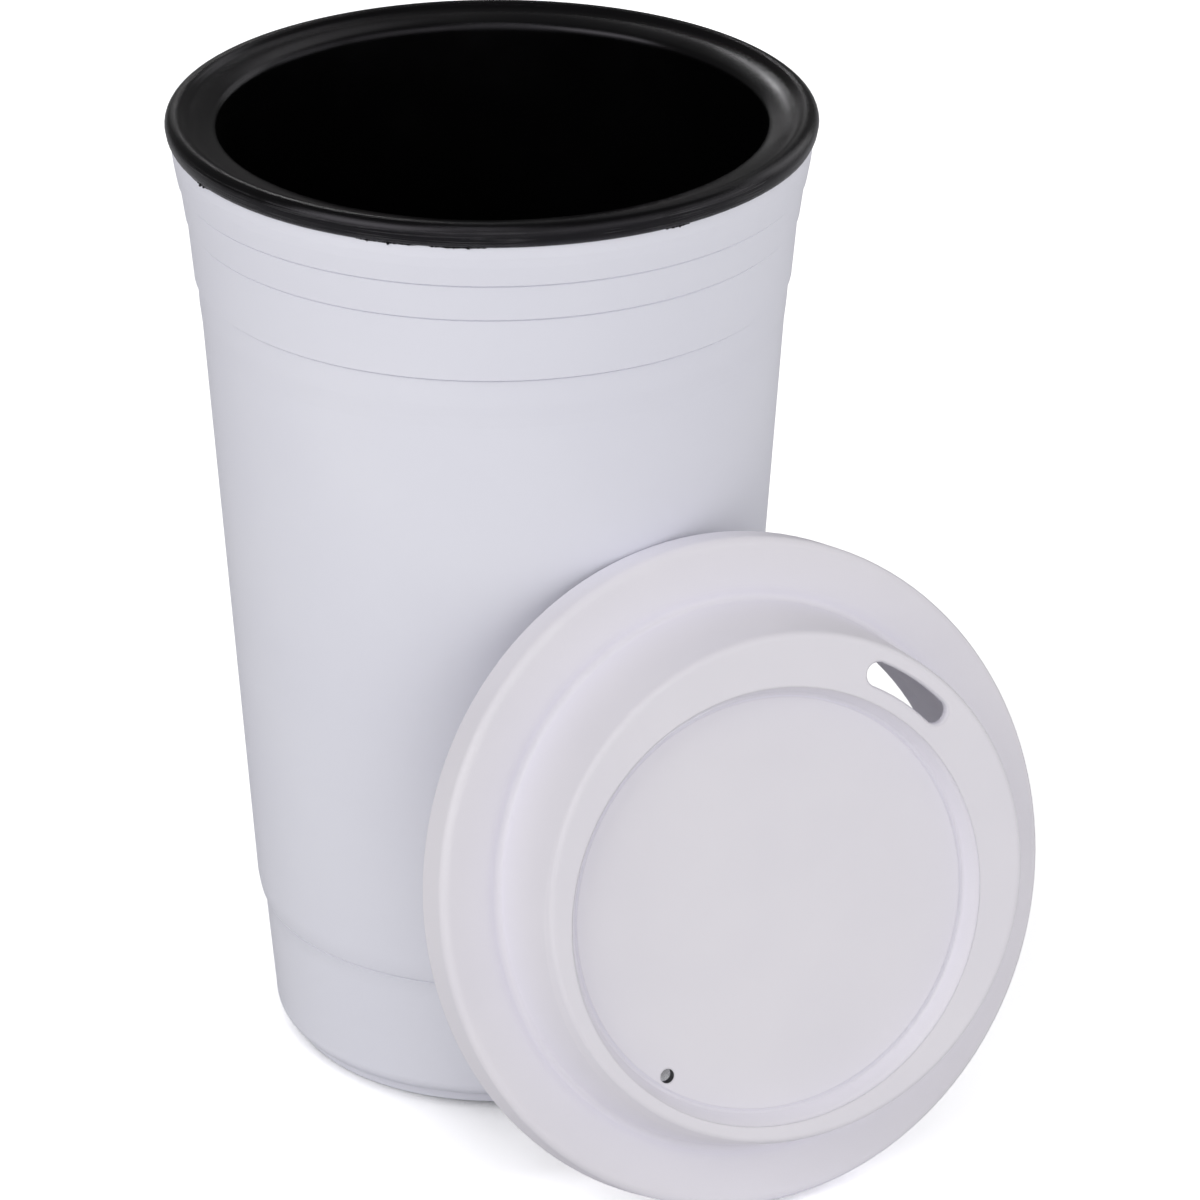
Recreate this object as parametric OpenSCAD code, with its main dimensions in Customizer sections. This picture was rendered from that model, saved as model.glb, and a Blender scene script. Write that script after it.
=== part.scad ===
// Reusable double-wall coffee cup with its push-on drinking lid leaning on it.
// The cup stands on z = 0 with its axis on z; all sizes are in millimetres.

/* [Cup] */
// Height of the cup to the crest of the rim
cup_h = 152.7; // [135:0.5:175]
// Outer diameter of the black rim
rim_d = 98; // [92:0.2:100]
// Width of the black rim from its outside to the drinking opening
rim_w = 7.65; // [6.5:0.05:8.5]
// Height of the black rim above the white shell
rim_h = 3.5; // [3.2:0.1:4.2]
// Diameter of the white wall just under the third line
wall_top_d = 89.4; // [85:0.2:91]
// Diameter of the white wall just above the low shoulder
wall_low_d = 75.8; // [70:0.2:80]
// Height of the line in the low shoulder above the table
shoulder_z = 23; // [16:0.5:32]
// Height over which the low shoulder draws in
shoulder_h = 7; // [4:0.5:10]
// Radial depth of the low shoulder
shoulder_step = 0.9; // [0.4:0.1:1.2]
// Radial depth of the lines under the rim
line_step = 0.28; // [0.15:0.01:0.5]
// Diameter of the wall at its foot, above the rounded corner
heel_d = 71.1; // [66:0.2:75]
// Radius of the rounded bottom corner
heel_r = 2.7; // [1.5:0.1:5]
// Outer diameter of the foot ring
foot_d = 66; // [58:0.2:68]
// Height of the foot ring
foot_h = 1.75; // [1:0.05:3]
// Radial width of the foot ring
foot_w = 2.4; // [1.5:0.1:5]

/* [Walls] */
// Wall of the white shell
shell_t = 1.8; // [1.2:0.1:2]
// Wall of the black liner
liner_t = 1.5; // [1.2:0.1:2]
// Height of the inside floor of the liner above the table
floor_z = 12; // [10:0.5:20]
// Inside diameter of the liner at its floor
floor_d = 62.5; // [50:0.5:64]
// Inside corner radius of the liner
floor_r = 6; // [2:0.5:12]

/* [Lid] */
// Outer diameter of the lid at the lower edge of its skirt
lid_d = 101.6; // [101:0.1:104]
// Height of the skirt to the top of the flat brim
skirt_h = 6.2; // [5.5:0.1:8]
// Rounding of the brim's outer edge
brim_r = 1.4; // [0.8:0.1:2.5]
// Radial clearance between the skirt and the rim when the lid is on
skirt_gap = 0.35; // [0.2:0.05:0.8]
// Wall of the lid
lid_t = 1.5; // [1.2:0.1:2]
// Diameter of the raised wall at the level of the top ring
dome_top_d = 76.84; // [70:0.02:78]
// Rise of the top ring over the lower edge of the skirt, on the lid's axis
dome_h = 20.15; // [18:0.05:24]
// Slant of the raised wall from upright
dome_draft = 10.2; // [5:0.1:15]
// Slope of the top ring, higher at the drinking side
ring_tilt = 5.5; // [0:0.1:8]
// Rounding of the top ring's outer edge
ring_r = 1; // [0.5:0.1:1.5]
// Diameter of the recess at the ring's inner edge
recess_d = 66.4; // [60:0.2:68]
// Offset of the recess away from the drinking side
recess_off = 3.84; // [0:0.02:4.5]
// Depth of the recess under the top ring
recess_deep = 3; // [1:0.1:5]
// Slant of the recess wall
recess_draft = 22; // [5:1:35]
// Radius of the drinking slot's centre line about the lid's axis
slot_r = 33.6; // [32:0.1:35]
// Width of the drinking slot
slot_w = 3.7; // [2:0.1:3.9]
// Length of the drinking slot along its centre line
slot_l = 15.2; // [8:0.2:24]
// Diameter of the vent hole
vent_d = 2.2; // [1:0.1:4]
// Distance of the vent hole from the lid's axis
vent_r = 33.4; // [28:0.1:33.6]
// Depth of the plug ring under the skirt's lower edge
plug_drop = 2; // [0:0.1:6]
// Radial clearance between the plug ring and the drinking opening
plug_gap = 0.3; // [0.2:0.05:1]

/* [Leaning lid] */
// Angle between the lid's flat side and upright
lean = 17.28; // [10:0.01:30]
// Direction on the table in which the lid faces
face_dir = -63.12; // [-90:0.01:-40]
// Direction on the table of the point where the lid meets the cup
meet_dir = -50.28; // [-80:0.01:-30]
// Turn of the drinking side about the lid's axis, from level
turn = 49; // [-90:1:90]
// Distance kept between the lid's edge and the cup where they come nearest
meet_gap = 0.17; // [0.1:0.01:1]

/* [Hidden] */
$fn = 96;

rim_r = rim_d / 2;
mouth_r = rim_r - rim_w;
bead_r = 1.6;
bead_end = 124;
lip_r = 0.9;
lip_start = 102;
lip_drop = 2.55;
seat_z = cup_h - rim_h;
top_r = rim_r - 0.85;
line1_z = seat_z - 6.4;
line2_z = line1_z - 5.65;
line3_z = line2_z - 9.95;

// The low wall leaves air round the liner, and the heel stands out over the foot ring
air_gap = 0.8;
foot_ledge = 0.5;
foot_r = foot_d / 2;
liner_need = floor_d / 2 + liner_t + air_gap + shell_t + shoulder_step;
low_r = max(wall_low_d / 2, liner_need);
heel_in = low_r - wall_low_d / 2;
heel_out = max(heel_d / 2 + heel_in, foot_r + foot_ledge);
heel_x = heel_out - heel_r;
heel_top_z = foot_h + heel_r;
heel_start = -acos(max(0, min(1, (foot_r + 0.04 - heel_x) / heel_r)));
wall_k = (wall_top_d / 2 - low_r) / (line3_z - shoulder_z);

// Points of an arc about [x, z] from angle a to angle b
function arc(x, z, r, a, b, n = 8) =
    [for (i = [0 : n]) let (t = a + (b - a) * i / n) [x + r * cos(t), z + r * sin(t)]];

// Radius of the straight white wall at height z
function wall_at(z) = low_r + wall_k * (z - shoulder_z);

// Radii of the wall's flare at its knee under the lines, then just above each line
knee_z = line3_z - 6.2;
flare3_r = wall_at(line3_z) + 0.56;
flare2_r = wall_at(line2_z) + 1.02;
flare1_r = wall_at(line1_z) + 1.66;

// Radius of the wall in the soft shoulder at height z
function ease(t) = t * t * (3 - 2 * t);
function shoulder_at(z) = wall_at(z) - shoulder_step * ease((shoulder_z + shoulder_h / 2 - z) / shoulder_h);

// Radius of the liner's inside at height z
liner_k = (mouth_r - 0.15 - floor_d / 2) / (seat_z - 1 - floor_z - floor_r);
function liner_at(z) = floor_d / 2 + liner_k * (z - floor_z - floor_r);

// Lid levels, measured from the skirt's lower edge
lid_r = lid_d / 2;
edge_r = 0.4;
edge_cut = 0.12;
skirt_top_r = lid_r - 0.3;
skirt_in = rim_r + skirt_gap;
groove_z = skirt_h - lid_t;
dome_top_r = dome_top_d / 2;
dome_k = tan(dome_draft);
plug_out = mouth_r - plug_gap;

// The brim rolls down into a dip against the raised wall, as the rim's own top does
dip_deep = 0.9;
dip_wide = 2.6;
dip_turn = 2 * atan(dip_deep / dip_wide);
dip_r = dip_wide / sin(dip_turn);
spare_h = 8;

// Radius of the raised wall's outside at height z
function dome_at(z) = dome_top_r + dome_k * (dome_h - z);

// The leaning lid's place: its skirt's lower edge touches the table and stands by the cup
out = [cos(face_dir) * cos(lean), sin(face_dir) * cos(lean), sin(lean)];
up = [-cos(face_dir) * sin(lean), -sin(face_dir) * sin(lean), cos(lean)];
side = [-sin(face_dir), cos(face_dir), 0];
meet_way = [cos(meet_dir), sin(meet_dir), 0];
lid_z = (lid_r - edge_r) * up.z + edge_r - edge_r * sin(lean);

// Place of the lid when the top of its lower edge is r from the cup's axis
function lid_at(r) = r * meet_way - lid_r * [up.x, up.y, 0] + [0, 0, lid_z];

// Smallest distance then left between the lid's edge and the wall
function edge_near(r) = min([for (t = [-50 : 2 : 50])
    let (p = lid_at(r) + edge_cut * out + (lid_r - edge_cut) * (cos(t) * up + sin(t) * side))
    norm([p.x, p.y]) - wall_at(p.z)]);

// Moves the lid outward or inward in n steps until the kept distance is left
function meet_at(r, n) = n == 0 ? r : meet_at(r + meet_gap - edge_near(r), n - 1);
lid_place = lid_at(meet_at(wall_at(lid_d), 5));

// Point of the soft shoulder, i steps above its line and set out by g beside the line
function shoulder_point(i, g) =
    let (z = shoulder_z + i * shoulder_h / 12) [shoulder_at(z) + g * (1 - abs(i) / 6), z];

// Fine notch of a line round the wall at height z, between radius a below and b above
notch_deep = 0.2;
notch_half = 0.18;
function notch(a, b, z) = [[a, z - notch_half], [a - notch_deep, z], [b, z + notch_half]];

// Outside of the white shell from the foot up to the seat of the rim
function shell_outside() = concat(
    [[foot_r - 0.3, 0], [foot_r - 0.1, 0.08], [foot_r, 0.3]],
    [[foot_r, heel_top_z + heel_r * sin(heel_start)]],
    arc(heel_x, heel_top_z, heel_r, heel_start, -4, 9),
    [[heel_out + 0.03, heel_top_z + 0.6]],
    [for (i = [6 : -1 : 1]) shoulder_point(-i, -0.08)],
    notch(shoulder_at(shoulder_z) - 0.08, shoulder_at(shoulder_z) + 0.08, shoulder_z),
    [for (i = [1 : 6]) shoulder_point(i, 0.08)],
    [
        [wall_at(knee_z - 1.6), knee_z - 1.6],
        [wall_at(knee_z) + 0.06, knee_z],
        [wall_at(knee_z + 1.8) + 0.15, knee_z + 1.8]
    ],
    notch(flare3_r - line_step - 0.12, flare3_r, line3_z),
    notch(flare2_r - line_step, flare2_r, line2_z),
    notch(flare1_r - line_step, flare1_r, line1_z),
    [
        [top_r - 0.5, seat_z - 4.7],
        [top_r - 0.25, seat_z - 3.3],
        [top_r - 0.06, seat_z - 1.8],
        [top_r, seat_z]
    ]
);

// Inside of the white shell, from the seat down to the closed bottom with its gate mark
base_z = foot_h + 0.15;
gate_r = 3.2;
gate_deep = 0.3;
function shell_inside() = concat(
    [
        [top_r - shell_t, seat_z],
        [flare1_r - shell_t, line1_z],
        [flare2_r - shell_t, line2_z],
        [wall_at(line3_z) - shell_t, line3_z - 2],
        [wall_at(shoulder_z + 3) - shell_t, shoulder_z + 3],
        [wall_at(shoulder_z) - shoulder_step - shell_t, shoulder_z - 1],
        [heel_out - shell_t, heel_top_z + 1]
    ],
    arc(heel_out - shell_t - 2, base_z + shell_t + 2, 2, 0, -90, 5),
    [
        [0, base_z + shell_t],
        [0, base_z + gate_deep],
        [gate_r - 0.2, base_z + gate_deep],
        [gate_r, base_z],
        [foot_r - foot_w - 0.4, base_z],
        [foot_r - foot_w, 0.3],
        [foot_r - foot_w + 0.3, 0]
    ]
);

// White outer shell: one moulding with a closed bottom and a foot ring
module outer_shell() {
    color([0.88, 0.88, 0.92])
        rotate_extrude()
            polygon(concat(shell_outside(), shell_inside()));
}

// Black inner liner: one moulding with the broad rolled rim
module inner_liner() {
    color([0.07, 0.07, 0.075])
        rotate_extrude()
            polygon(concat(
                [[top_r, seat_z]],
                [[rim_r - 0.5, seat_z + 0.25], [rim_r - 0.18, seat_z + 0.9]],
                arc(rim_r - bead_r, cup_h - bead_r, bead_r, 0, bead_end, 14),
                [
                    [rim_r - 3.0, cup_h - 0.72],
                    [rim_r - 3.7, cup_h - 1.0],
                    [rim_r - 4.8, cup_h - 1.22]
                ],
                arc(mouth_r + lip_r, cup_h - lip_drop, lip_r, lip_start, 180, 8),
                [[liner_at(seat_z - 1), seat_z - 1]],
                [[liner_at(floor_z + floor_r), floor_z + floor_r]],
                arc(floor_d / 2 - floor_r, floor_z + floor_r, floor_r, -4, -90, 8),
                [[0, floor_z], [0, floor_z - liner_t]],
                arc(floor_d / 2 - floor_r, floor_z + floor_r, floor_r + liner_t, -90, -4, 8),
                [
                    [liner_at(seat_z - 8) + liner_t, seat_z - 8],
                    [mouth_r + 1.7, seat_z - 1.6],
                    [mouth_r + 3, seat_z]
                ]
            ));
}

// Lid without its top: brim, skirt, plug ring and an over-tall raised wall
module lid_blank() {
    dip_x = dome_at(skirt_h - dip_deep) + dip_wide;
    rotate_extrude()
        polygon(concat(
            [[lid_r - edge_r, 0], [lid_r - edge_cut, edge_cut], [lid_r, edge_r]],
            [[skirt_top_r, skirt_h - brim_r]],
            arc(skirt_top_r - brim_r, skirt_h - brim_r, brim_r, 8, 90, 6),
            arc(dip_x, skirt_h - dip_r, dip_r, 90, 90 + dip_turn, 5),
            [
                [dome_at(dome_h + spare_h), dome_h + spare_h],
                [0, dome_h + spare_h],
                [0, -plug_drop],
                [plug_out - 0.4, -plug_drop],
                [plug_out, groove_z - dip_deep - 0.8],
                [plug_out + 0.6, groove_z - dip_deep - 0.1],
                [plug_out + dip_wide, groove_z],
                [skirt_in - 0.6, groove_z],
                [skirt_in, groove_z - 0.6],
                [skirt_in, 0.7],
                [skirt_in + 0.35, 0]
            ]
        ));
}

// Puts its children on the sloping plane of the top ring
module on_ring(x = 0) {
    translate([0, 0, dome_h])
        rotate([0, -ring_tilt, 0])
            translate([x, 0, 0])
                children();
}

// Everything above and outside the rounded top ring
module ring_trim() {
    cap_x = -dome_top_r * dome_k * sin(ring_tilt);
    cap_r = dome_top_r + ring_r * dome_k - ring_r / cos(dome_draft);
    flank = 24;
    flank_h = dome_h - 4;
    difference() {
        translate([0, 0, skirt_h + 4])
            cylinder(r = lid_r - 4, h = 2 * dome_h);
        on_ring(cap_x)
            rotate_extrude()
                polygon(concat(
                    [[0, 0]],
                    arc(cap_r, -ring_r, ring_r, 90, dome_draft, 6),
                    [
                        [cap_r + ring_r + flank_h * tan(flank), -ring_r - flank_h],
                        [0, -ring_r - flank_h]
                    ]
                ));
    }
}

// Hollow of the raised wall, up to the underside of the top ring
module dome_hollow() {
    inner_k = lid_t / cos(dome_draft);
    plug_in = plug_out - lid_t;
    bend_z = skirt_h + 3;
    deep = 3 * dome_h;
    intersection() {
        rotate_extrude()
            polygon([
                [0, -plug_drop - 1],
                [plug_in, -plug_drop - 1],
                [plug_in, 2],
                [dome_at(bend_z) - inner_k, bend_z],
                [dome_at(dome_h + spare_h) - inner_k, dome_h + spare_h],
                [0, dome_h + spare_h]
            ]);
        on_ring()
            translate([0, 0, -deep - lid_t])
                cylinder(r = lid_r, h = deep);
    }
}

// Round tray of the recess, grown by g on its walls and floor
module recess_body(g, corner, lift) {
    deep_r = recess_d / 2 - recess_deep * tan(recess_draft) + g;
    edge_x = recess_d / 2 + g;
    on_ring(-recess_off)
        translate([0, 0, -recess_deep - g])
            rotate_extrude()
                polygon(concat(
                    [[0, 0]],
                    [for (p = corner) [deep_r + p.x, p.y]],
                    [
                        [edge_x - 0.4, recess_deep + g - 0.9],
                        [edge_x - 0.1, recess_deep + g - 0.35],
                        [edge_x + 0.35, recess_deep + g + lift],
                        [0, recess_deep + g + lift]
                    ]
                ));
}

// Corners between the tray's floor and wall: a fine groove on top, a plain bevel underneath
tray_groove = [[-0.8, 0], [-0.6, -0.2], [-0.2, -0.2], [0.05, 0.15]];
tray_bevel = [[-1, 0], [0.1, 0.8]];

// Curved drinking slot with round ends and a slightly opened top edge
module slot_cut() {
    w = slot_w / 2;
    half = (slot_l / 2 - w) / slot_r * 180 / PI;
    on_ring() {
        rotate([0, 0, -half])
            rotate_extrude(angle = 2 * half)
                polygon([
                    [slot_r - w, -4],
                    [slot_r + w, -4],
                    [slot_r + w, -0.4],
                    [slot_r + w + 0.3, 0.1],
                    [slot_r + w + 0.3, 2],
                    [slot_r - w - 0.3, 2],
                    [slot_r - w - 0.3, 0.1],
                    [slot_r - w, -0.4]
                ]);
        for (a = [-half, half])
            rotate([0, 0, a])
                translate([slot_r, 0, 0])
                    rotate_extrude()
                        polygon([[0, -4], [w, -4], [w, -0.4], [w + 0.3, 0.1], [w + 0.3, 2], [0, 2]]);
    }
}

// Lid in its own frame: axis on z, drinking side towards +x
module lid_shape() {
    difference() {
        union() {
            difference() {
                lid_blank();
                dome_hollow();
            }
            recess_body(lid_t, tray_bevel, -0.6);
        }
        ring_trim();
        recess_body(0, tray_groove, 6);
        slot_cut();
        on_ring()
            translate([-vent_r, 0, -recess_deep - lid_t - 3])
                cylinder(d = vent_d, h = 8, $fn = 48);
    }
}

// White lid, standing on its edge and leaning back on the cup
module lid() {
    color([0.89, 0.88, 0.9])
        translate(lid_place)
            rotate([0, 0, face_dir])
                rotate([0, 90 - lean, 0])
                    rotate([0, 0, 90 + turn])
                        lid_shape();
}

outer_shell();
inner_liner();
lid();
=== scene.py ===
import math

import bmesh
import bpy
from mathutils import Matrix, Vector, noise


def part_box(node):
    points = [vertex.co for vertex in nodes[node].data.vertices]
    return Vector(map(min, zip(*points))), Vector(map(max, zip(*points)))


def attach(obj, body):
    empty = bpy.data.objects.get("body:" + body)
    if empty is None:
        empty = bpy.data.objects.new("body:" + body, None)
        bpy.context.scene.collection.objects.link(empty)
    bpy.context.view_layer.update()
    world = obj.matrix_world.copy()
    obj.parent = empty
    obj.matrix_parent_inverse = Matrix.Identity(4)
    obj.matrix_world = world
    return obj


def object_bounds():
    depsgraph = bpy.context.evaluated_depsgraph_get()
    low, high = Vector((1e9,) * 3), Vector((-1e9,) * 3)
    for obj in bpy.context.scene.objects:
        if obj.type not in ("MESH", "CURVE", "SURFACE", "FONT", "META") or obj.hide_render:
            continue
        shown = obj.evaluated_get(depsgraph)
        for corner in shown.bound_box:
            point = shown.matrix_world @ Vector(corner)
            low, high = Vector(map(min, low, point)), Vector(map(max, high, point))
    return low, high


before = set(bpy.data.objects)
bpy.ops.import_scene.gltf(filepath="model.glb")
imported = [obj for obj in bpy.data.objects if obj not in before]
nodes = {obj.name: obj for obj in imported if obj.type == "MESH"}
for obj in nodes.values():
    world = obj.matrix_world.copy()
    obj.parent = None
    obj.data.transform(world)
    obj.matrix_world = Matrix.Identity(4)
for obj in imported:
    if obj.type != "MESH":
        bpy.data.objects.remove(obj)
cadLow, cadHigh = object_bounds()
print("frame loaded:", ", ".join(sorted(nodes)))


# the scene is in metres, and mm is one millimetre in it
mm = 0.001

rimLow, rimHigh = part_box("inner_liner")
shellLow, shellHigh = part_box("outer_shell")
lidLow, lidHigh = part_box("lid")
rimRadius = (rimHigh.x - rimLow.x) / 2
seatHeight = shellHigh.z    # where the black rim sits on the white shell


# the lid's own frame: axis on z, drinking side towards +x, as it leans on the cup

lidForm = {
    "place": (34.665 * mm, -46.972 * mm, 48.406 * mm),
    "faceDir": -63.12,             # degrees on the table
    "lean": 17.28,
    "turn": 49.0,
    "wall": 1.5 * mm,
    "brimLevel": 6.2 * mm,
    "ringLevel": 20.15 * mm,
    "ringTilt": 5.5,
    "ringRadius": 38.42 * mm,
    "draft": 10.2,
    "dipDeep": 0.9 * mm,
    "dipWide": 2.6 * mm,
    "recessDeep": 3.0 * mm,
    "ventReach": 33.4 * mm,
    "boreShadeReach": 1.3 * mm,          # inside this distance from its middle the vent's bore is painted near-black, a painted shade
}
lidFrame = (
    Matrix.Translation(lidForm["place"])
    @ Matrix.Rotation(math.radians(lidForm["faceDir"]), 4, "Z")
    @ Matrix.Rotation(math.radians(90 - lidForm["lean"]), 4, "Y")
    @ Matrix.Rotation(math.radians(90 + lidForm["turn"]), 4, "Z")
)


def onRing(x, z):
    # world place of a point given in the sloping plane of the lid's top ring
    level = Matrix.Translation((0, 0, lidForm["ringLevel"]))
    tilt = Matrix.Rotation(math.radians(-lidForm["ringTilt"]), 4, "Y")
    return lidFrame @ level @ tilt @ Vector((x, 0, z))


# helpers for materials

def newMaterial(name):
    material = bpy.data.materials.new(name)
    material.use_nodes = True
    tree = material.node_tree
    shader = tree.nodes["Principled BSDF"]
    return material, tree, shader


def addNode(tree, kind, **settings):
    node = tree.nodes.new(kind)
    for key, value in settings.items():
        setattr(node, key, value)
    return node


def noiseNode(tree, vector, scale, detail=3.0, roughness=0.5):
    node = addNode(tree, "ShaderNodeTexNoise")
    node.inputs["Scale"].default_value = scale
    node.inputs["Detail"].default_value = detail
    node.inputs["Roughness"].default_value = roughness
    tree.links.new(vector, node.inputs["Vector"])
    return node.outputs["Fac"]


def mapRange(tree, value, fromMin, fromMax, toMin, toMax):
    node = addNode(tree, "ShaderNodeMapRange")
    node.inputs["From Min"].default_value = fromMin
    node.inputs["From Max"].default_value = fromMax
    node.inputs["To Min"].default_value = toMin
    node.inputs["To Max"].default_value = toMax
    tree.links.new(value, node.inputs["Value"])
    return node.outputs["Result"]


def mathNode(tree, operation, a, b=None):
    node = addNode(tree, "ShaderNodeMath", operation=operation)
    for socket, value in zip(node.inputs, (a, b)):
        if value is None:
            continue
        if isinstance(value, (int, float)):
            socket.default_value = value
        else:
            tree.links.new(value, socket)
    return node.outputs[0]


def mixColour(tree, factor, a, b):
    node = addNode(tree, "ShaderNodeMix", data_type="RGBA")
    tree.links.new(factor, node.inputs["Factor"])
    for socket, value in zip((node.inputs[6], node.inputs[7]), (a, b)):
        if isinstance(value, tuple):
            socket.default_value = value
        else:
            tree.links.new(value, socket)
    return node.outputs[2]


def bumpNode(tree, height, distance, under=None):
    node = addNode(tree, "ShaderNodeBump")
    node.inputs["Strength"].default_value = 1.0
    node.inputs["Distance"].default_value = distance
    tree.links.new(height, node.inputs["Height"])
    if under is not None:
        tree.links.new(under, node.inputs["Normal"])
    return node.outputs["Normal"]


def softEdges(tree, radius):
    # rounds the shading of edges and creases over a small radius
    node = addNode(tree, "ShaderNodeBevel", samples=4)
    node.inputs["Radius"].default_value = radius
    return node.outputs["Normal"]


def openness(tree, distance):
    # 1 on an open surface, falling to 0 deep in a gap narrower than the distance
    node = addNode(tree, "ShaderNodeAmbientOcclusion", samples=5)
    node.inputs["Distance"].default_value = distance
    return node.outputs["AO"]


# white moulded plastic, for the shell and the lid

whiteMix = {
    "cloudTint": (0.35, 0.65),     # the range of the cloudy noise that moves the colour
    "cloudShine": (0.3, 0.7),      # the range that moves the roughness
    "bend": 1.49,
}

shellFinish = {
    "name": "whiteShellPlastic",
    "light": (0.754, 0.754, 0.820, 1),     # most of the wall
    "shade": (0.731, 0.731, 0.802, 1),     # faint cloudy patches in the plastic
    "cloudSize": 38 * mm,
    "grainSize": 0.35 * mm,
    "grainHeight": 0.004 * mm,
    "waveSize": 16 * mm,
    "waveHeight": 0.02 * mm,
    "roughness": (0.40, 0.48),
}

lidFinish = {
    "name": "whiteLidPlastic",
    "light": (0.745, 0.722, 0.768, 1),
    "shade": (0.722, 0.700, 0.750, 1),
    "cloudSize": 24 * mm,
    "grainSize": 0.28 * mm,
    "grainHeight": 0.005 * mm,
    "waveSize": 12 * mm,
    "waveHeight": 0.015 * mm,
    "roughness": (0.42, 0.50),
    "soften": 0.5 * mm,
    "creasePaintedLight": (0.835, 0.818, 0.90, 1),  # painted light: the lid is painted lighter and bluer in its creases, standing in for light through the thin plastic from behind
    "creaseReach": 10 * mm,
    "creaseOpen": (0.30, 0.95),
    # painted shade: the vent's bore is painted near-black
    "boreShadeColour": (0.02, 0.02, 0.022, 1),
    "boreShadeEdge": 0.05 * mm,
}


def paintCreaseLight(tree, tint, finish):
    # painted light: deep in the lid's creases its colour is painted lighter, standing in for light
    # through the thin plastic
    deep = mapRange(tree, openness(tree, finish["creaseReach"]), *finish["creaseOpen"], 1, 0)
    creasePaintedTint = mixColour(tree, deep, tint, finish["creasePaintedLight"])
    # painted shade: round the vent's middle the colour is painted near-black
    place = addNode(tree, "ShaderNodeNewGeometry").outputs["Position"]
    away = addNode(tree, "ShaderNodeVectorMath", operation="DISTANCE")
    tree.links.new(place, away.inputs[0])
    ventLevel = -lidForm["recessDeep"] - lidForm["wall"] / 2
    away.inputs[1].default_value = onRing(-lidForm["ventReach"], ventLevel)
    far = lidForm["boreShadeReach"]
    bore = mapRange(tree, away.outputs["Value"], far - finish["boreShadeEdge"], far, 1, 0)
    return mixColour(tree, bore, creasePaintedTint, finish["boreShadeColour"])


def whitePlastic(finish):
    material, tree, shader = newMaterial(finish["name"])
    place = addNode(tree, "ShaderNodeTexCoord").outputs["Object"]
    cloud = noiseNode(tree, place, 1 / finish["cloudSize"], detail=2.0)
    grain = noiseNode(tree, place, 1 / finish["grainSize"], detail=2.0)
    wave = noiseNode(tree, place, 1 / finish["waveSize"], detail=1.0)
    clouded = mapRange(tree, cloud, *whiteMix["cloudTint"], 0, 1)
    tint = mixColour(tree, clouded, finish["light"], finish["shade"])
    # the lid gets painted light in its creases and painted shade in its vent
    if "creasePaintedLight" in finish:
        tint = paintCreaseLight(tree, tint, finish)
    tree.links.new(tint, shader.inputs["Base Color"])
    spread = mapRange(tree, cloud, *whiteMix["cloudShine"], *finish["roughness"])
    tree.links.new(spread, shader.inputs["Roughness"])
    under = softEdges(tree, finish["soften"]) if "soften" in finish else None
    slow = bumpNode(tree, wave, finish["waveHeight"], under=under)
    fine = bumpNode(tree, grain, finish["grainHeight"], under=slow)
    tree.links.new(fine, shader.inputs["Normal"])
    shader.inputs["IOR"].default_value = whiteMix["bend"]
    return material


# black moulded plastic of the liner, scuffed along the rim's outside

linerFinish = {
    "name": "blackLinerPlastic",
    "deep": (0.0008, 0.0008, 0.0009, 1),
    "dusty": (0.0300, 0.0300, 0.0310, 1),
    "roughness": (0.17, 0.24),
    "shine": 0.40,
    "shineTint": (0.94, 0.90, 1.0, 1),
    "bend": 1.5,
    "soften": 1.0 * mm,
    "grainSize": 0.3 * mm,
    "grainHeight": 0.004 * mm,
    "streakLength": 14 * mm,       # along the rim
    "streakWidth": 0.22 * mm,      # up the band
    "streakHeight": 0.012 * mm,
    "bandTop": 2.3 * mm,           # the scuffed band, above the seat
    "bandFade": 0.8 * mm,
    "seatFade": (-0.2 * mm, 0.3 * mm),
    "outsideFade": (-1.2 * mm, -0.5 * mm),
    "patchSize": 9 * mm,
    "patchShine": (0.3, 0.7),      # the range of the patchy noise that moves the roughness
    "patchWear": (0.42, 0.62),     # the range that moves the wear
    "leastWear": 0.15,
    "streakWear": (0.50, 0.66),
    "wearRoughness": 0.18,
    "crownInner": 7.2 * mm,        # the sloping top is shaded as a low crown between these
    "crownOuter": 2.6 * mm,
    "crownHeight": 0.15 * mm,
}


def aroundCup(tree, place, along, up):
    # coordinates that run round the cup's axis: arc length, height and radius, each over its own size
    split = addNode(tree, "ShaderNodeSeparateXYZ")
    tree.links.new(place, split.inputs[0])
    angle = mathNode(tree, "ARCTAN2", split.outputs["Y"], split.outputs["X"])
    arc = mathNode(tree, "MULTIPLY", angle, rimRadius / along)
    height = mathNode(tree, "MULTIPLY", split.outputs["Z"], 1 / up)
    flat = addNode(tree, "ShaderNodeVectorMath", operation="LENGTH")
    level = addNode(tree, "ShaderNodeCombineXYZ")
    tree.links.new(split.outputs["X"], level.inputs[0])
    tree.links.new(split.outputs["Y"], level.inputs[1])
    tree.links.new(level.outputs[0], flat.inputs[0])
    radius = mathNode(tree, "MULTIPLY", flat.outputs["Value"], 1 / up)
    joined = addNode(tree, "ShaderNodeCombineXYZ")
    for socket, value in zip(joined.inputs, (arc, height, radius)):
        tree.links.new(value, socket)
    return joined.outputs[0], split.outputs["Z"], flat.outputs["Value"]


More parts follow.
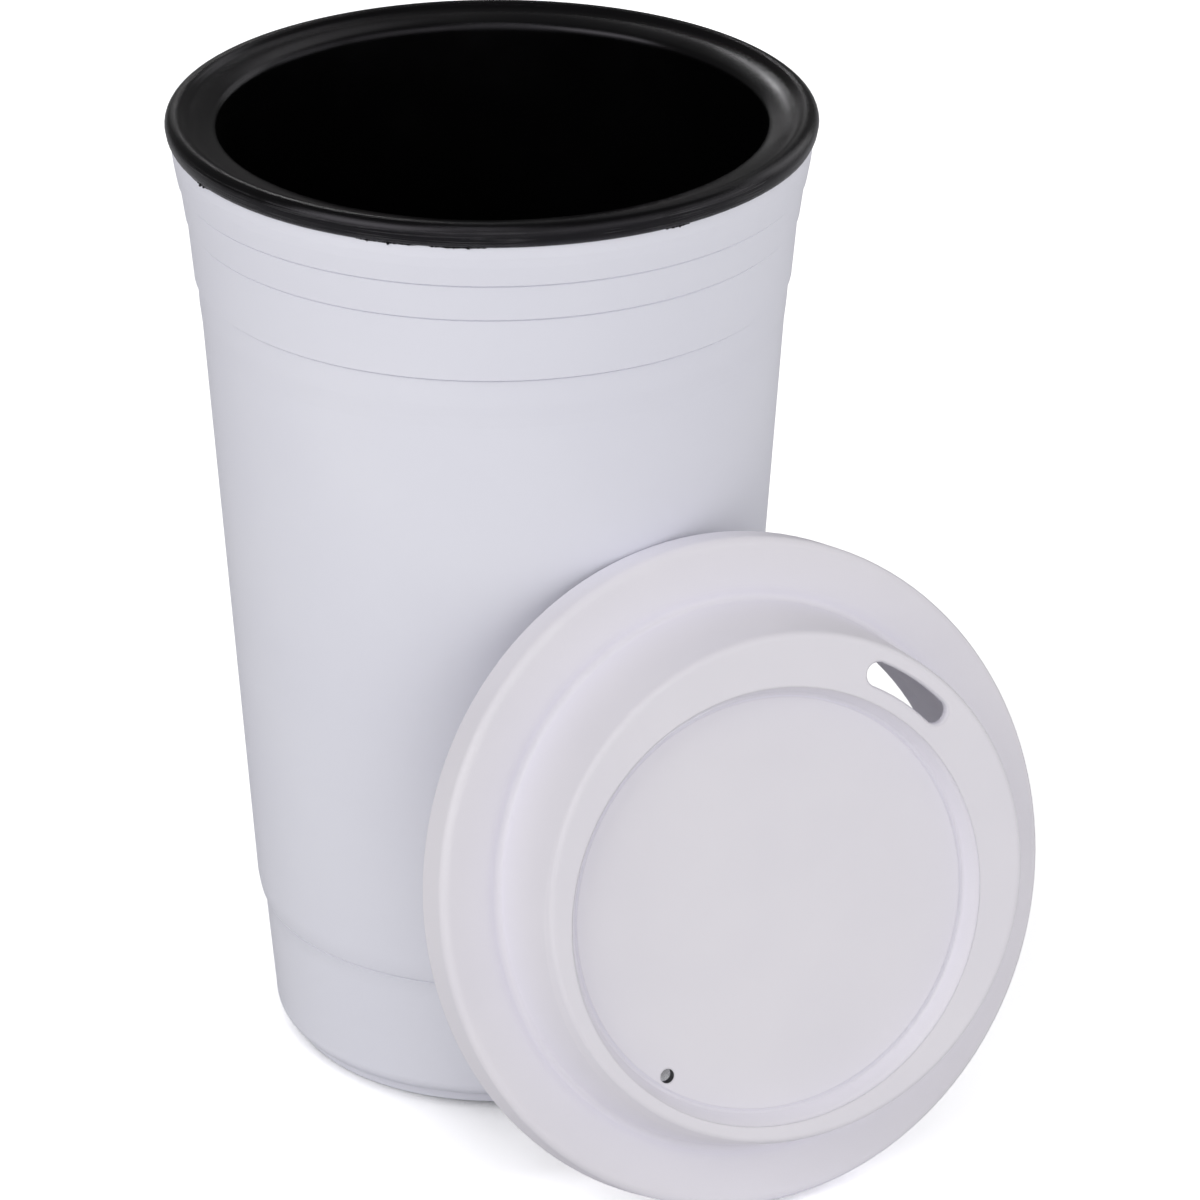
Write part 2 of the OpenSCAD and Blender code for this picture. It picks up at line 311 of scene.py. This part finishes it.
def blackPlastic(finish):
    material, tree, shader = newMaterial(finish["name"])
    place = addNode(tree, "ShaderNodeTexCoord").outputs["Object"]
    streakPlace, height, radius = aroundCup(tree, place, finish["streakLength"], finish["streakWidth"])
    streak = noiseNode(tree, streakPlace, 1.0, detail=4.0, roughness=0.6)
    patch = noiseNode(tree, place, 1 / finish["patchSize"], detail=3.0)
    grain = noiseNode(tree, place, 1 / finish["grainSize"], detail=2.0)

    # the scuffs lie on the outside of the rim only, strongest in patches
    low = mapRange(tree, height, *(seatHeight + fade for fade in finish["seatFade"]), 0, 1)
    top = seatHeight + finish["bandTop"]
    high = mapRange(tree, height, top, top + finish["bandFade"], 1, 0)
    outside = mapRange(tree, radius, *(rimRadius + fade for fade in finish["outsideFade"]), 0, 1)
    band = mathNode(tree, "MULTIPLY", mathNode(tree, "MULTIPLY", low, high), outside)
    patchy = mapRange(tree, patch, *finish["patchWear"], finish["leastWear"], 1)
    worn = mathNode(tree, "MULTIPLY", band, patchy)
    scuff = mathNode(tree, "MULTIPLY", worn, mapRange(tree, streak, *finish["streakWear"], 0, 1))

    tree.links.new(mixColour(tree, scuff, finish["deep"], finish["dusty"]), shader.inputs["Base Color"])
    spread = mapRange(tree, patch, *finish["patchShine"], *finish["roughness"])
    wornSpread = mathNode(tree, "MULTIPLY", scuff, finish["wearRoughness"])
    tree.links.new(mathNode(tree, "ADD", spread, wornSpread), shader.inputs["Roughness"])

    # the crown is a parabola that peaks at a quarter, and the scuffs are raised lines
    inner = rimRadius - finish["crownInner"]
    outer = rimRadius - finish["crownOuter"]
    across = mapRange(tree, radius, inner, outer, 0, 1)
    crown = mathNode(tree, "MULTIPLY", across, mathNode(tree, "SUBTRACT", 1, across))
    lines = mathNode(tree, "MULTIPLY", worn, streak)
    soft = softEdges(tree, finish["soften"])
    crowned = bumpNode(tree, crown, 4 * finish["crownHeight"], under=soft)
    slow = bumpNode(tree, lines, finish["streakHeight"], under=crowned)
    fine = bumpNode(tree, grain, finish["grainHeight"], under=slow)
    tree.links.new(fine, shader.inputs["Normal"])
    shader.inputs["IOR"].default_value = finish["bend"]
    shader.inputs["Specular IOR Level"].default_value = finish["shine"]
    shader.inputs["Specular Tint"].default_value = finish["shineTint"]
    return material


def dress(node, material):
    mesh = nodes[node].data
    mesh.materials.clear()
    mesh.materials.append(material)


whiteShell = whitePlastic(shellFinish)
whiteLid = whitePlastic(lidFinish)
blackLiner = blackPlastic(linerFinish)
dress("outer_shell", whiteShell)
dress("lid", whiteLid)
dress("inner_liner", blackLiner)
print("plastics made for the shell, the liner and the lid")


# soft fillet in the valley between the lid's brim and its raised wall

valley = {
    "brimTurn": 20.0,              # degrees the brim has rolled down where the fillet leaves it
    "wallRise": 1.2 * mm,          # how far up the raised wall the fillet reaches
    "sunk": 0.02 * mm,             # its edges lie just under the surfaces
    "steps": 12,
    "around": 256,
}


def wallRadius(level):
    slant = math.tan(math.radians(lidForm["draft"]))
    return lidForm["ringRadius"] + slant * (lidForm["ringLevel"] - level)


def valleyProfile(shape):
    # from the raised wall to the brim's roll, as a curve that leaves both along their own slope
    low = lidForm["brimLevel"] - lidForm["dipDeep"]
    turnAll = 2 * math.atan(lidForm["dipDeep"] / lidForm["dipWide"])
    roll = lidForm["dipWide"] / math.sin(turnAll)
    turn = math.radians(shape["brimTurn"])
    brimX = wallRadius(low) + lidForm["dipWide"] - roll * math.sin(turn)
    brimZ = lidForm["brimLevel"] - roll * (1 - math.cos(turn))
    slant = math.tan(math.radians(lidForm["draft"]))
    travel = (brimX - wallRadius(brimZ)) / (math.cos(turn) + slant * math.sin(turn))
    cornerX = brimX - travel * math.cos(turn)
    cornerZ = brimZ - travel * math.sin(turn)
    wallZ = cornerZ + shape["wallRise"]
    wallX = wallRadius(wallZ) - shape["sunk"]
    points = ((wallX, wallZ), (cornerX, cornerZ), (brimX, brimZ - shape["sunk"]))
    profile = []
    for i in range(shape["steps"] + 1):
        t = i / shape["steps"]
        weights = ((1 - t) ** 2, 2 * t * (1 - t), t ** 2)
        profile.append([sum(w * point[axis] for w, point in zip(weights, points)) for axis in (0, 1)])
    return profile


def makeValley(shape):
    profile = valleyProfile(shape)
    bm = bmesh.new()
    rings = []
    for i in range(shape["around"]):
        turn = 2 * math.pi * i / shape["around"]
        places = [Vector((r * math.cos(turn), r * math.sin(turn), z)) for r, z in profile]
        rings.append([bm.verts.new(lidFrame @ place) for place in places])
    for i, ring in enumerate(rings):
        after = rings[(i + 1) % len(rings)]
        for j in range(len(profile) - 1):
            bm.faces.new((ring[j], ring[j + 1], after[j + 1], after[j]))
    mesh = bpy.data.meshes.new("lidValley")
    bm.to_mesh(mesh)
    bm.free()
    for face in mesh.polygons:
        face.use_smooth = True
    piece = bpy.data.objects.new("lidValley", mesh)
    bpy.context.scene.collection.objects.link(piece)
    piece.data.materials.append(whiteLid)
    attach(piece, "root")


makeValley(valley)
print("valley of the lid filled softly")


# thin flash squeezed out of the weld under the black rim

weldFlash = {
    "seed": 11,
    # from and to, in degrees round the cup
    "stretches": ((203, 211), (246, 257), (259, 269), (301, 306), (38, 47), (128, 140)),
    "step": 0.12,                  # degrees
    "sides": 7,
    "thick": 0.10 * mm,
    "clump": 0.48 * mm,
    "out": 0.08 * mm,              # how far it stands past the shell's top edge
    "least": 0.01 * mm,
    "lumpPitch": 90,               # noise cells over a unit circle
    "raggedPitch": 420,
    "ragged": (0.6, 0.8),          # the thread's mean share of its size, and how much it wanders
    "taper": 0.4,
    "sunk": 0.35,                  # share of its size under the seat
}


def makeWeldFlash(shape):
    bm = bmesh.new()
    shellRadius = (shellHigh.x - shellLow.x) / 2
    for start, end in shape["stretches"]:
        rings = []
        count = int((end - start) / shape["step"])
        for i in range(count + 1):
            part = i / count
            angle = math.radians(start + (end - start) * part)
            along = Vector((math.cos(angle), math.sin(angle), 0))
            lump = max(0.0, noise.noise(along * shape["lumpPitch"] + Vector((0, 0, shape["seed"]))))
            mean, wander = shape["ragged"]
            ragged = mean + wander * noise.noise(along * shape["raggedPitch"])
            fade = math.sin(math.pi * part) ** shape["taper"]
            size = (shape["thick"] + shape["clump"] * lump) * ragged * fade
            size = max(size, shape["least"])
            low = Vector((0, 0, seatHeight - size * shape["sunk"]))
            centre = along * (shellRadius + shape["out"]) + low
            ring = []
            for j in range(shape["sides"]):
                turn = 2 * math.pi * j / shape["sides"]
                side = along * size * math.cos(turn) + Vector((0, 0, size * math.sin(turn)))
                ring.append(bm.verts.new(centre + side))
            rings.append(ring)
        for a, b in zip(rings, rings[1:]):
            for j in range(shape["sides"]):
                k = (j + 1) % shape["sides"]
                bm.faces.new((a[j], a[k], b[k], b[j]))
        bm.faces.new(list(reversed(rings[0])))
        bm.faces.new(rings[-1])
    bmesh.ops.recalc_face_normals(bm, faces=bm.faces)
    mesh = bpy.data.meshes.new("weldFlash")
    bm.to_mesh(mesh)
    bm.free()
    for face in mesh.polygons:
        face.use_smooth = True
    piece = bpy.data.objects.new("weldFlash", mesh)
    bpy.context.scene.collection.objects.link(piece)
    piece.data.materials.append(blackLiner)
    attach(piece, "root")


makeWeldFlash(weldFlash)
print("weld flash laid under the rim")


# floor, light and camera

studio = {
    "floorSize": 9.0,
    "floorColour": (0.85, 0.85, 0.86, 1),
    "floorRoughness": 0.9,
    "floorGloss": 0.1,
    "floorSeen": (1.75, 1.75, 1.75, 1),    # for the camera only, so that the lit floor is white
    "floorPaintedReflection": (0.48, 0.48, 0.50, 1),   # as glossy surfaces mirror it, darker than its own colour: a painted reflection
    "paintedShadowGap": 150 * mm,                   # painted shadow: in gaps narrower than this the camera sees the floor painted darker
    "paintedShadowOpen": (0.08, 0.34),           # the openness where it is darkest, and where it is full
    "paintedShadowReach": (48 * mm, 60 * mm),    # only round the cup's foot, out to this radius
    "skyLevel": 0.38,
    "skyShine": 0.11,                      # the sky as glossy surfaces mirror it
    "skyColour": (1.0, 1.0, 1.0, 1),
}

lamps = (
    # name, place, width, height, watts, colour
    ("keyLeft", (-1.55, -1.25, 1.55), 1.9, 1.9, 25.5, (1.0, 0.998, 0.995)),
    ("frontHigh", (0.0, -1.6, 1.7), 1.6, 1.2, 3.9, (1.0, 1.0, 1.0)),
    ("frontLow", (0.0, -2.1, 0.5), 2.0, 0.8, 4.9, (1.0, 1.0, 1.0)),
    ("frontRight", (1.3, -1.4, 0.9), 1.4, 1.4, 6.2, (1.0, 1.0, 1.0)),
    ("sideRight", (1.9, -0.2, 0.7), 1.2, 1.2, 4.9, (1.0, 1.0, 1.0)),
    ("backRight", (1.4, 1.1, 0.9), 1.2, 1.2, 4.5, (1.0, 1.0, 1.0)),
)

# these are mirrored in glossy surfaces and don't light the rest
shineLamps = (
    ("rimTop", (-0.1, -0.55, 1.8), 0.6, 0.16, 1.6, (1.0, 1.0, 1.0)),
    ("rimLeft", (0.36, 1.30, 1.30), 0.45, 0.45, 0.30, (1.0, 1.0, 1.0)),
    ("rimRight", (-0.13, 1.70, 1.00), 0.10, 0.14, 0.40, (1.0, 1.0, 1.0)),
    ("rimSoft", (-0.35, 1.62, 0.60), 0.50, 0.40, 0.20, (1.0, 1.0, 1.0)),
)

camera = {
    "place": (0.0, -0.8158, 0.4577),
    "down": 25.37,                 # degrees under level
    "right": 1.141,                # degrees towards +X
    "roll": 0.064,
    "lens": 173.91,
    "sensor": 36.0,
    "nearest": 0.01,
}


def makeFloor(settings):
    bpy.ops.mesh.primitive_plane_add(size=settings["floorSize"], location=(0, 0, 0))
    floor = bpy.context.object
    floor.name = "floor"
    material, tree, shader = newMaterial("paleFloor")
    shader.inputs["Roughness"].default_value = settings["floorRoughness"]
    shader.inputs["Specular IOR Level"].default_value = settings["floorGloss"]
    place = addNode(tree, "ShaderNodeNewGeometry").outputs["Position"]
    radius = addNode(tree, "ShaderNodeVectorMath", operation="LENGTH")
    tree.links.new(place, radius.inputs[0])
    # painted shadow: round the cup's foot the floor is painted darker for the camera in narrow gaps, as
    # a contact shadow
    outside = mapRange(tree, radius.outputs["Value"], *settings["paintedShadowReach"], 0, 1)
    clear = mapRange(tree, openness(tree, settings["paintedShadowGap"]), *settings["paintedShadowOpen"], 0, 1)
    clear = mathNode(tree, "MAXIMUM", clear, outside)
    near = addNode(tree, "ShaderNodeBsdfDiffuse")
    tree.links.new(mixColour(tree, clear, (0, 0, 0, 1), settings["floorSeen"]), near.inputs["Color"])
    far = addNode(tree, "ShaderNodeBsdfDiffuse")
    far.inputs["Color"].default_value = settings["floorSeen"]

    # the painted shadow's openness is worked out near the cup alone, which keeps the render short
    beyond = mathNode(tree, "GREATER_THAN", radius.outputs["Value"], settings["paintedShadowReach"][1])
    plain = addNode(tree, "ShaderNodeMixShader")
    tree.links.new(beyond, plain.inputs["Fac"])
    tree.links.new(near.outputs[0], plain.inputs[1])
    tree.links.new(far.outputs[0], plain.inputs[2])
    rays = addNode(tree, "ShaderNodeLightPath")
    glossy = rays.outputs["Is Glossy Ray"]
    # painted reflection: glossy surfaces mirror the floor darker than its own colour
    mirrored = mixColour(tree, glossy, settings["floorColour"], settings["floorPaintedReflection"])
    tree.links.new(mirrored, shader.inputs["Base Color"])
    pick = addNode(tree, "ShaderNodeMixShader")
    tree.links.new(rays.outputs["Is Camera Ray"], pick.inputs["Fac"])
    tree.links.new(shader.outputs[0], pick.inputs[1])
    tree.links.new(plain.outputs[0], pick.inputs[2])
    tree.links.new(pick.outputs[0], tree.nodes["Material Output"].inputs["Surface"])
    floor.data.materials.append(material)


def makeSky(settings):
    world = bpy.data.worlds.new("studioSky")
    bpy.context.scene.world = world
    world.use_nodes = True
    tree = world.node_tree
    background = tree.nodes["Background"]
    background.inputs["Color"].default_value = settings["skyColour"]
    rays = addNode(tree, "ShaderNodeLightPath")
    glossy = rays.outputs["Is Glossy Ray"]
    level = mapRange(tree, glossy, 0, 1, settings["skyLevel"], settings["skyShine"])
    tree.links.new(level, background.inputs["Strength"])
    white = addNode(tree, "ShaderNodeBackground")
    white.inputs["Color"].default_value = (1, 1, 1, 1)
    white.inputs["Strength"].default_value = 1.0
    pick = addNode(tree, "ShaderNodeMixShader")
    tree.links.new(rays.outputs["Is Camera Ray"], pick.inputs["Fac"])
    tree.links.new(background.outputs[0], pick.inputs[1])
    tree.links.new(white.outputs[0], pick.inputs[2])
    tree.links.new(pick.outputs[0], tree.nodes["World Output"].inputs["Surface"])


def makeLamp(name, place, width, height, watts, colour, shineOnly=False):
    light = bpy.data.lights.new(name, "AREA")
    light.shape = "RECTANGLE"
    light.size = width
    light.size_y = height
    light.energy = watts
    light.color = colour
    lamp = bpy.data.objects.new(name, light)
    bpy.context.scene.collection.objects.link(lamp)
    lamp.location = place
    lamp.visible_camera = False
    lamp.visible_diffuse = not shineOnly
    aim = Vector((0, 0, (cadLow.z + cadHigh.z) / 2)) - Vector(place)
    lamp.rotation_euler = aim.to_track_quat("-Z", "Y").to_euler()


def makeCamera(settings):
    data = bpy.data.cameras.new("photoCamera")
    data.sensor_width = settings["sensor"]
    data.lens = settings["lens"]
    data.clip_start = settings["nearest"]
    eye = bpy.data.objects.new("photoCamera", data)
    bpy.context.scene.collection.objects.link(eye)
    turn = Matrix.Rotation(-math.radians(settings["right"]), 4, "Z")
    tilt = Matrix.Rotation(math.radians(90 - settings["down"]), 4, "X")
    roll = Matrix.Rotation(math.radians(settings["roll"]), 4, "Z")
    eye.rotation_euler = (turn @ tilt @ roll).to_euler()
    eye.location = settings["place"]
    bpy.context.scene.camera = eye


makeFloor(studio)
makeSky(studio)
for lamp in lamps:
    makeLamp(*lamp)
for lamp in shineLamps:
    makeLamp(*lamp, shineOnly=True)
makeCamera(camera)
bpy.context.scene.view_settings.view_transform = "Standard"
print("floor, light and camera set")
